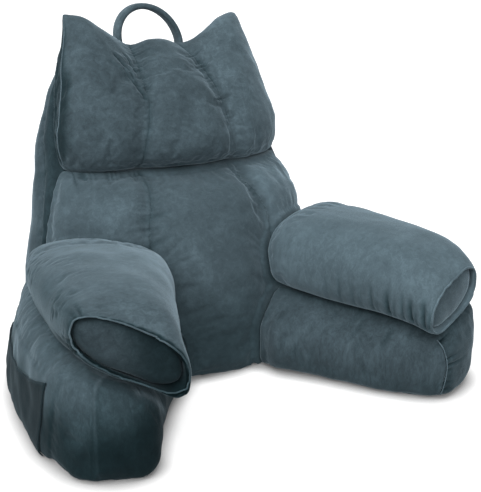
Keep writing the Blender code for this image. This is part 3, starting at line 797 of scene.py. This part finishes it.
def arm(side):
    made = soft_copy(f"arm_{side}", (ARM_SEAMS[side],))
    co = read(made.data)
    seam = Path(made, ARM_SEAMS[side])
    if side == "left":
        creases = seam.crease(depth=0.0020, reach=0.0036)
        for depth, width, points in LEFT_ARM_FOLDS:
            creases += Path(made, points).fold(0.5 * depth, 1.3 * width)
        groove = seam.groove(depth=0.0010, width=0.006)
        relief = lumps(made, seed=41, height=0.0010) + groove + creases
        panel = co @ np.array(LEFT_ARM_PANEL)
        # Painted shade that deepens unevenly towards the floor, and a painted highlight along a fold.
        height = co[:, 2] + 0.010 * waves(co, size=0.09, seed=49)
        shade = 0.90 * zone(-height, begin=-0.175, end=-0.060, factor=0.21)
        shade *= around(Path(made, LEFT_ARM_FOLD_HIGHLIGHT), width=0.008, factor=2.2)
        # The front panel is darker, partly painted shade under the sleeve, partly its nap lying the other
        # way; a painted highlight runs along its seam.
        front = zone(panel, begin=0.086, end=0.091, factor=0.74)
        painted_seam_highlight = zone(np.abs(panel - 0.0865), begin=0.004, end=0.0, factor=1.3)
        shade *= front * painted_seam_highlight
    else:
        creases = seam.puckers(depth=0.0095, reach=0.030, pitch=0.0145, seed=13, side=1)
        creases += seam.puckers(depth=0.0075, reach=0.034, pitch=0.0120, seed=17, side=1)
        creases += seam.puckers(depth=0.0020, reach=0.016, pitch=0.0155, seed=13, side=-1)
        folds = cross_folds(co, RIGHT_ARM_LENGTH, pitch=0.024, seed=47)
        creases += 0.0014 * np.minimum(folds, 0.0)
        groove = seam.groove(depth=0.0030, width=0.007)
        relief = lumps(made, seed=43, height=0.0008) + groove + creases
        # Painted shade towards the floor and a painted highlight along the seam; the end panel is a little
        # darker.
        foot = zone(-co[:, 2], begin=-0.08, end=0.0, factor=0.75)
        end_panel = zone(seam.side * step(seam.dist, -0.1, 0.001), begin=0.0, end=0.004, factor=0.86)
        shade = foot * around(seam, width=0.003, factor=1.3) * end_panel
        welt("arm_welt_right", seam, radius=0.0009)
    displace(made, relief)
    on_floor(made)
    # Painted shade in the creases and where the sleeve lies close.
    shade *= shaded(creases) * painted_contact_shade(made, f"arm_sleeve_{side}", reach=0.010, dark=0.35)
    tone(made, shade)
    finish_piece(made, f"arm_{side}")
    return made


def left_sleeve_cloth(made, facing, skin):
    """The left sleeve's wrinkles and tone: painted shade on its rim, its inside and below."""
    co = read(made.data)
    patches = step(waves(co, size=0.09, seed=57), low=-0.6, high=1.2)
    across = waves(co * (0.35, 1.0, 1.0), size=0.016, seed=55) * patches
    creases = 0.0007 * np.minimum(across, 0.3) * step(-co[:, 0], low=0.30, high=0.36)
    creases += Path(made, LEFT_SLEEVE_SIDE).puckers(depth=0.0060, reach=0.045, pitch=0.016, seed=59)
    # Painted shade on the rim's face, under the sleeve and, through the skin, on the wall inside its mouth.
    rim = step(normals(made.data) @ facing, low=0.55, high=0.85)
    rim *= step(co[:, 0], low=-0.385, high=-0.345)
    under = step(-normals(made.data)[:, 2], low=0.0, high=0.5)
    inner_part = zone(co[:, 0], begin=-0.36, end=-0.24, factor=1.15)
    outer_part = zone(co[:, 0], begin=-0.355, end=-0.40, factor=0.55)
    shade = inner_part * outer_part * (1.0 - 0.80 * rim) * (1.0 - 0.6 * under)
    return creases, shade * (0.12 + 0.88 * skin)


def right_sleeve_cloth(made):
    """The right sleeve's gathers, which rise from its lower edge, and its tone: a painted light on its top.
    """
    creases = np.zeros(len(made.data.vertices))
    near, far = (np.array(place) for place in RIGHT_SLEEVE_WALL)
    tree = tree_of(made.data)
    for share, depth, rise, half in RIGHT_SLEEVE_GATHERS:
        x, y = near + (far - near) * share
        heights = (0.0, rise / 2, rise)
        gather = Path(made, [(x, y, RIGHT_SLEEVE_FOOT + height) for height in heights], tree)
        fade = 1.0 - step(gather.along / gather.length, low=0.35, high=1.0)
        creases -= depth * fade * bell(gather.dist, half)
    return creases, zone(read(made.data)[:, 2], begin=0.24, end=0.30, factor=1.05)


def sleeve(side):
    facing, start, end, seed = SLEEVES[side]
    facing = np.array(facing)
    made = soft_copy(f"arm_sleeve_{side}")
    co = read(made.data)
    if side == "left":
        off = np.linalg.norm(co - LEFT_SLEEVE_TIP, axis=1)
        co[:, 2] -= LEFT_SLEEVE_DROOP * bell(off, width=0.045)
        write(made.data, co)
    skin = outside(made, start, end)
    if side == "left":
        creases, shade = left_sleeve_cloth(made, facing, skin)
    else:
        creases, shade = right_sleeve_cloth(made)
    displace(made, (0.0007 * waves(co, size=0.09, seed=seed) + creases) * skin)
    # Painted shade where the arm lies close and in the creases.
    shade *= painted_contact_shade(made, f"arm_{side}", reach=0.006, dark=0.6)
    tone(made, shade * shaded(creases, amount=150.0))
    finish_piece(made, f"sleeve_{side}")
    rim = Path(made, rim_points(f"arm_sleeve_{side}", facing))
    if side == "left":
        welt("sleeve_welt_left", rim, radius=0.0013, dim=(0.24, 0.55))
    else:
        welt("sleeve_welt_right", rim, radius=0.0021)


def pad(side):
    made = soft_copy(f"arm_pad_{side}")
    co = read(made.data)
    displace(made, lumps(made, seed=61, height=0.0006, size=0.06) - PAD_EASE)
    # Painted shade: the left pad darkens towards the seat, deep in its mouth, and both darken where their
    # sleeve lies close.
    if side == "left":
        inner_part = zone(co[:, 0], begin=-0.35, end=-0.27, factor=0.30)
        tone(made, inner_part * painted_contact_shade(made, "arm_sleeve_left", reach=0.005, dark=0.2))
    else:
        tone(made, PAD_RIGHT_TONE * painted_contact_shade(made, "arm_sleeve_right", reach=0.003, dark=0.6))
    finish_piece(made, "pad")


def pocket(arm_cloth):
    """The patch pocket: a flat cloth laid on the arm's outer side, with a sewn hem."""
    tree = tree_of(arm_cloth.data)
    edge_y, edge_z = zip(*sorted(POCKET_TOP))
    (top_y, top_z), (foot_y, foot_z) = POCKET_FRONT
    columns, rows = POCKET_GRID
    hem_rise, hem_width = POCKET_HEM
    places = []
    edges = []
    for c in range(columns + 1):
        for r in range(rows + 1):
            rise = r / rows
            front = foot_y + (top_y - foot_y) * rise
            y = POCKET_REAR + (front - POCKET_REAR) * c / columns
            z = foot_z + (np.interp(y, edge_y, edge_z) - foot_z) * rise
            hit, out = tree.ray_cast(Vector((-1.0, y, z)), Vector((1.0, 0.0, 0.0)))[:2]
            edge = min((1.0 - rise) * (top_z - foot_z), (1.0 - c / columns) * abs(front - POCKET_REAR))
            edges.append(edge)
            places.append(hit + out * (POCKET_LIFT + hem_rise * math.exp(-(edge / hem_width) ** 4)))
    faces = []
    for c in range(columns):
        for r in range(rows):
            a = c * (rows + 1) + r
            faces.append((a, a + rows + 1, a + rows + 2, a + 1))
    mesh = bpy.data.meshes.new("side_pocket_cloth")
    mesh.from_pydata([tuple(p) for p in places], [], faces)
    mesh.update()
    if sum(p.normal.x for p in mesh.polygons) > 0:
        mesh.flip_normals()
    made = new_object("side_pocket_cloth", mesh)
    thick = made.modifiers.new("Thick", "SOLIDIFY")
    thick.thickness = POCKET_THICKNESS
    thick.offset = 1.0
    mesh = from_modifiers(made)
    mesh.shade_smooth()
    edges = np.array(edges)
    # A painted highlight along the hem's edge, and a darker line of stitches.
    painted_hem_highlight = 0.22 * bell(edges, width=0.003)
    stitches = 0.08 * bell(edges, width=0.0025, middle=0.009)
    shade = POCKET_TONE + painted_hem_highlight - stitches
    tone(made, np.resize(shade, len(mesh.vertices)))
    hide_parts("side_pocket_left")
    finish_piece(made, "pocket")


def strap():
    made = soft_copy("handle")
    displace(made, np.full(len(made.data.vertices), STRAP_SWELL))
    finish_piece(made, "strap")


# ---- stage ---------------------------------------------------------------------
def floor():
    """A pale floor that glows evenly, with a painted shadow where the pillow stands on it."""
    bpy.ops.mesh.primitive_plane_add(size=FLOOR_SIZE, location=(0, 0, 0))
    made = bpy.context.object
    made.name = "floor"
    look = bpy.data.materials.new("floor_paper")
    look.use_nodes = True
    nodes = look.node_tree.nodes
    links = look.node_tree.links
    shader = nodes["Principled BSDF"]
    shader.inputs["Roughness"].default_value = 0.95
    shader.inputs["Specular IOR Level"].default_value = 0.0
    shader.inputs["Base Color"].default_value = (FLOOR_GREY, FLOOR_GREY, FLOOR_GREY, 1.0)
    shader.inputs["Emission Color"].default_value = (1.0, 1.0, 1.0, 1.0)
    # Painted contact shadow: the floor's glow falls where the pillow hides it from the sky.
    near = nodes.new("ShaderNodeAmbientOcclusion")
    near.inputs["Distance"].default_value = SHADOW_REACH
    near.samples = 16
    glow = nodes.new("ShaderNodeMapRange")
    for end, open_sky, strength in zip(("Min", "Max"), FLOOR_OPEN, FLOOR_GLOW):
        glow.inputs[f"From {end}"].default_value = open_sky
        glow.inputs[f"To {end}"].default_value = strength
    links.new(near.outputs["AO"], glow.inputs["Value"])
    links.new(glow.outputs["Result"], shader.inputs["Emission Strength"])
    made.data.materials.append(look)
    made.visible_diffuse = False


def lights():
    """Wide soft lights round the pillow, under an even pale sky."""
    world = bpy.data.worlds.new("studio")
    bpy.context.scene.world = world
    world.use_nodes = True
    sky = world.node_tree.nodes["Background"]
    sky.inputs["Color"].default_value = (1.0, 1.0, 1.0, 1.0)
    sky.inputs["Strength"].default_value = WORLD
    for name, toward, spread, energy in LIGHTS:
        data = bpy.data.lights.new(name, "SUN")
        data.angle = math.radians(spread)
        data.energy = energy
        made = new_object(name, data)
        made.rotation_euler = Vector(toward).to_track_quat("Z", "Y").to_euler()
    view = bpy.context.scene.view_settings
    view.view_transform = "Standard"
    view.look = "None"


def camera():
    """At the photograph's angle: 29 degrees to the left, 17 degrees down."""
    turn = math.radians(CAMERA_TURN)
    down = math.radians(CAMERA_DOWN)
    ahead = Vector((math.sin(turn) * math.cos(down), math.cos(turn) * math.cos(down), -math.sin(down)))
    right = Vector((math.cos(turn), -math.sin(turn), 0.0))
    up = right.cross(ahead)
    data = bpy.data.cameras.new("camera")
    data.sensor_width = CAMERA_SENSOR
    data.lens = CAMERA_LENS
    made = new_object("camera", data)
    turned = Matrix((right, up, -ahead)).transposed().to_4x4()
    made.matrix_world = Matrix.Translation(CAMERA_PLACE) @ turned
    bpy.context.scene.camera = made


head()
lumbar()
body()
pocket(arm("left"))
arm("right")
for side in ("left", "right"):
    sleeve(side)
    pad(side)
strap()
floor()
lights()
camera()
